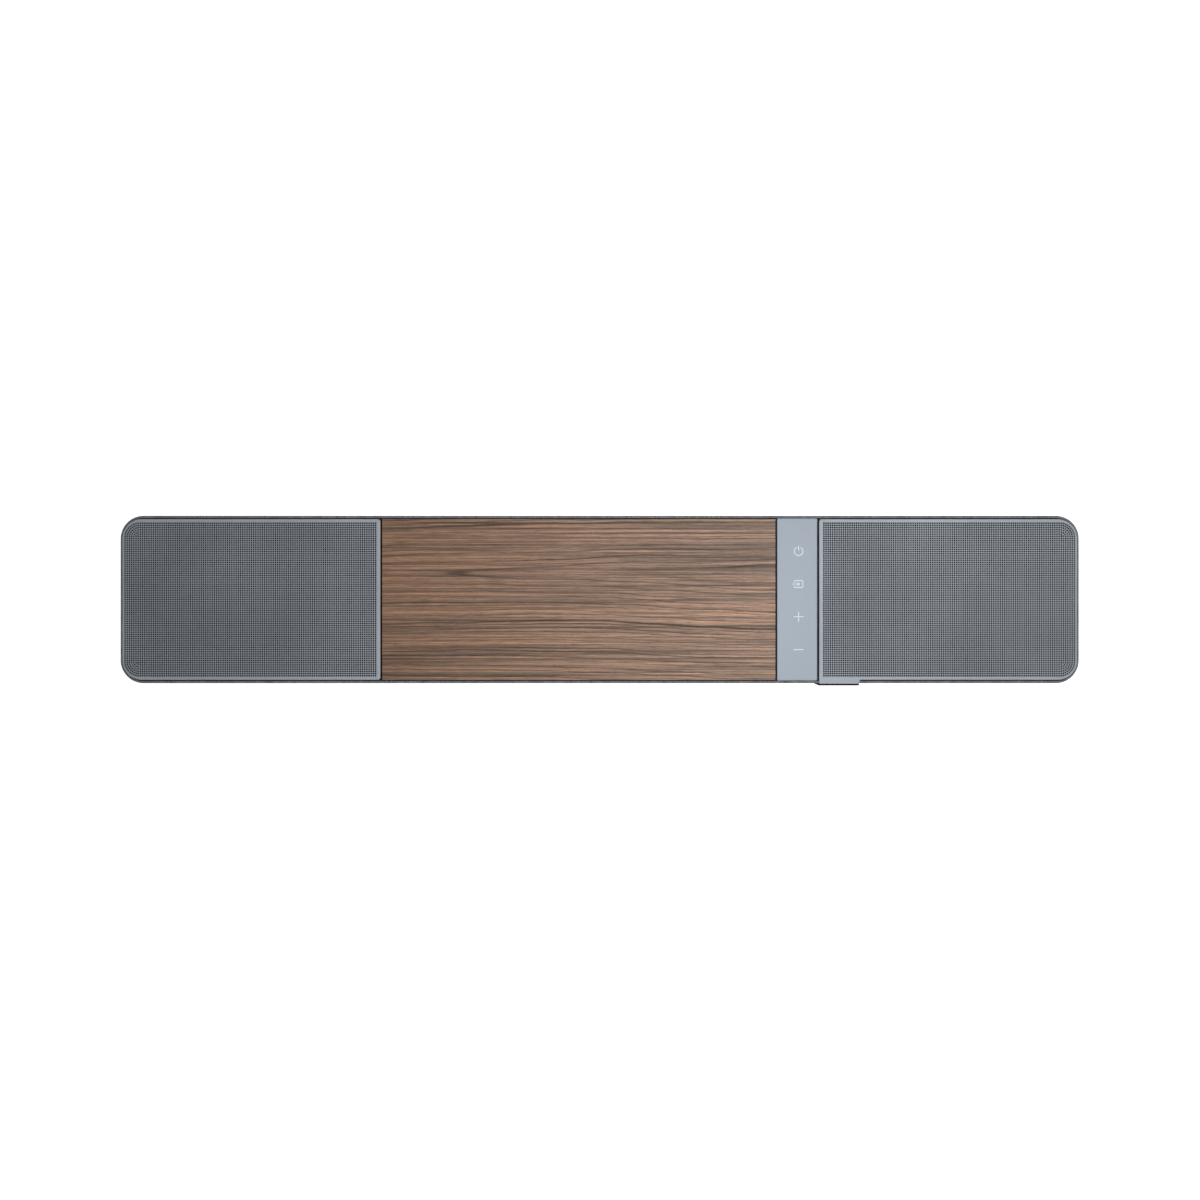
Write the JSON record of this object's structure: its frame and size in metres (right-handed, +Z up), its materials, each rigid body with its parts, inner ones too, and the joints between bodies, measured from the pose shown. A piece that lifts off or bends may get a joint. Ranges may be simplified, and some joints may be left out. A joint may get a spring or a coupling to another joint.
{
  "type": "soundbar",
  "caption": "Low table-top speaker bar: two end grilles over upward woofers, wood panel and touch strip between them, cloth-wrapped walls, rear cable bay.",
  "frame": {"origin": "on the table, under the middle of the bar's box", "axes": "+X to the bar's right as seen from its front, +Y to its rear, +Z up"},
  "size_m": [0.7112, 0.126, 0.078],
  "materials": {
    "black_plastic": "fine moulded texture",
    "cloth": "tight woven acoustic cloth",
    "grille_steel": "satin metallic powder coat",
    "walnut_veneer": "open-grain walnut veneer, matt oil",
    "strip_paint": "satin blue-grey paint",
    "symbol_print": "pale screen print",
    "smoked_acrylic": "polished, almost black",
    "rubber": "matt",
    "cone_paper": "coated paper",
    "ferrite": "sintered",
    "copper": "enamelled wire",
    "circuit_board": "solder resist",
    "aluminium": "extruded",
    "zinc_steel": "zinc plated"
  },
  "bodies": {
    "cabinet": {"base_plate": "black_plastic", "cabinet_shell": "black_plastic", "top_deck": "black_plastic", "fabric_wrap": "cloth", "wood_panel": "walnut_veneer", "touch_strip": "strip_paint", "touch_board": "circuit_board", "left_top_grille": "grille_steel", "right_top_grille": "grille_steel", "display_window": "smoked_acrylic", "display_board": "circuit_board", "rear_panel": "black_plastic", "power_inlet": "black_plastic", "av_socket": "zinc_steel", "usb_socket": "zinc_steel", "optical_socket": "black_plastic", "line_in_jack": "black_plastic", "left_bass_port": "black_plastic", "right_bass_port": "black_plastic", "main_board": "circuit_board", "power_board": "circuit_board", "heat_sink": "aluminium", "foot_front_left": "rubber", "foot_front_right": "rubber", "foot_rear_left": "rubber", "foot_rear_right": "rubber", "base_screw_front_left": "zinc_steel", "base_screw_front_middle": "zinc_steel", "base_screw_front_right": "zinc_steel", "base_screw_rear_left": "zinc_steel", "base_screw_rear_middle": "zinc_steel", "base_screw_rear_right": "zinc_steel", "panel_screw_lower_left": "zinc_steel", "panel_screw_lower_right": "zinc_steel", "panel_screw_upper_left": "zinc_steel", "panel_screw_upper_right": "zinc_steel", "left_woofer_basket": "black_plastic", "left_woofer_magnet": "ferrite", "left_woofer_surround": "rubber", "left_woofer_spider": "cloth", "left_driver_basket": "black_plastic", "left_driver_magnet": "ferrite", "left_driver_surround": "rubber", "right_woofer_basket": "black_plastic", "right_woofer_magnet": "ferrite", "right_woofer_surround": "rubber", "right_woofer_spider": "cloth", "right_driver_basket": "black_plastic", "right_driver_magnet": "ferrite", "right_driver_surround": "rubber"},
    "left_woofer_moving_parts": {"left_woofer_cone": "cone_paper", "left_woofer_dust_cap": "cone_paper", "left_woofer_voice_coil": "copper"},
    "left_driver_moving_parts": {"left_driver_cone": "cone_paper"},
    "right_woofer_moving_parts": {"right_woofer_cone": "cone_paper", "right_woofer_dust_cap": "cone_paper", "right_woofer_voice_coil": "copper"},
    "right_driver_moving_parts": {"right_driver_cone": "cone_paper"},
    "shutter": {"optical_shutter": "black_plastic"}
  },
  "joints": [
    {"name": "left_woofer_travel", "type": "slide", "parent": "cabinet", "child": "left_woofer_moving_parts", "axis": [0, 0, 1], "range_m": [-0.0035, 0.0035], "stiffness_N_per_m": 1700, "deforming": ["left_woofer_surround", "left_woofer_spider"]},
    {"name": "right_woofer_travel", "type": "slide", "parent": "cabinet", "child": "right_woofer_moving_parts", "axis": [0, 0, 1], "range_m": [-0.0035, 0.0035], "stiffness_N_per_m": 1700, "deforming": ["right_woofer_surround", "right_woofer_spider"]},
    {"name": "left_driver_travel", "type": "slide", "parent": "cabinet", "child": "left_driver_moving_parts", "axis": [0, -1, 0], "range_m": [-0.002, 0.002], "stiffness_N_per_m": 1200, "deforming": ["left_driver_surround"]},
    {"name": "right_driver_travel", "type": "slide", "parent": "cabinet", "child": "right_driver_moving_parts", "axis": [0, -1, 0], "range_m": [-0.002, 0.002], "stiffness_N_per_m": 1200, "deforming": ["right_driver_surround"]},
    {"name": "shutter_swing", "type": "hinge", "parent": "cabinet", "child": "shutter", "pos_m": [0.05, 0.05604, 0.0319], "axis": [-1, 0, 0], "range_deg": [0, 80], "stiffness_Nm_per_rad": 0.0001}
  ]
}
